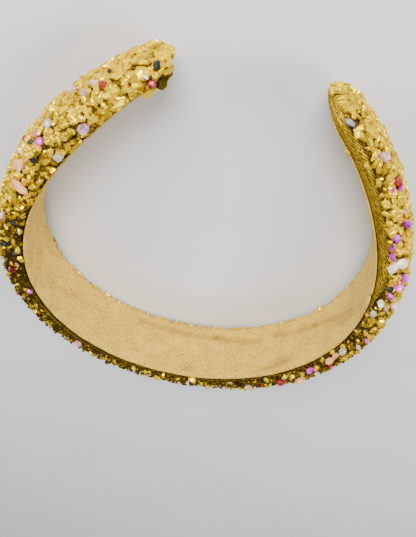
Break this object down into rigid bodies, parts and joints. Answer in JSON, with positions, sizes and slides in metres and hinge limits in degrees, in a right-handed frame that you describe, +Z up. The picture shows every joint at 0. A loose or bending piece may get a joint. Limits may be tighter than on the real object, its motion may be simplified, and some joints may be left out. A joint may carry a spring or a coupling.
{
  "type": "crystal headband",
  "caption": "Stiff padded C-shaped headband wrapped in gold metallic cloth, lined with suede and crusted outside with gold chips and rough coloured stones.",
  "frame": {"origin": "middle of the underside of the headband's box as it lies on its edge", "axes": "+X runs ear to ear, +Y from the crown towards the open tips, +Z up across the band's width"},
  "size_m": [0.1484, 0.1502, 0.0308],
  "materials": {
    "gold_cloth": "woven metallic cloth with a fine diagonal rib",
    "beige_suede": "short matt nap",
    "gold_chips": "bright crushed metallic-coated chips",
    "rose_quartz": "rough cut, waxy to glassy",
    "magenta_glass": "crushed, metallic sheen",
    "garnet_glass": "crushed, glassy",
    "clear_quartz": "rough cut, glassy",
    "smoky_glass": "crushed, glassy"
  },
  "bodies": {
    "root": {"cloth_band": "gold_cloth", "suede_lining": "beige_suede", "gold_chip_crust": "gold_chips", "clear_stone_01": "clear_quartz", "clear_stone_02": "clear_quartz", "clear_stone_03": "clear_quartz", "clear_stone_04": "clear_quartz", "clear_stone_05": "clear_quartz", "clear_stone_06": "clear_quartz", "clear_stone_07": "clear_quartz", "clear_stone_08": "clear_quartz", "garnet_stone_01": "garnet_glass", "garnet_stone_02": "garnet_glass", "garnet_stone_03": "garnet_glass", "garnet_stone_04": "garnet_glass", "garnet_stone_05": "garnet_glass", "garnet_stone_06": "garnet_glass", "garnet_stone_07": "garnet_glass", "garnet_stone_08": "garnet_glass", "magenta_stone_01": "magenta_glass", "magenta_stone_02": "magenta_glass", "magenta_stone_03": "magenta_glass", "magenta_stone_04": "magenta_glass", "magenta_stone_05": "magenta_glass", "magenta_stone_06": "magenta_glass", "magenta_stone_07": "magenta_glass", "magenta_stone_08": "magenta_glass", "magenta_stone_09": "magenta_glass", "rose_stone_01": "rose_quartz", "rose_stone_02": "rose_quartz", "rose_stone_03": "rose_quartz", "rose_stone_04": "rose_quartz", "rose_stone_05": "rose_quartz", "rose_stone_06": "rose_quartz", "rose_stone_07": "rose_quartz", "rose_stone_08": "rose_quartz", "rose_stone_09": "rose_quartz", "rose_stone_10": "rose_quartz", "rose_stone_11": "rose_quartz", "rose_stone_12": "rose_quartz", "rose_stone_13": "rose_quartz", "rose_stone_14": "rose_quartz", "rose_stone_15": "rose_quartz", "smoky_stone_01": "smoky_glass"}
  },
  "joints": []
}
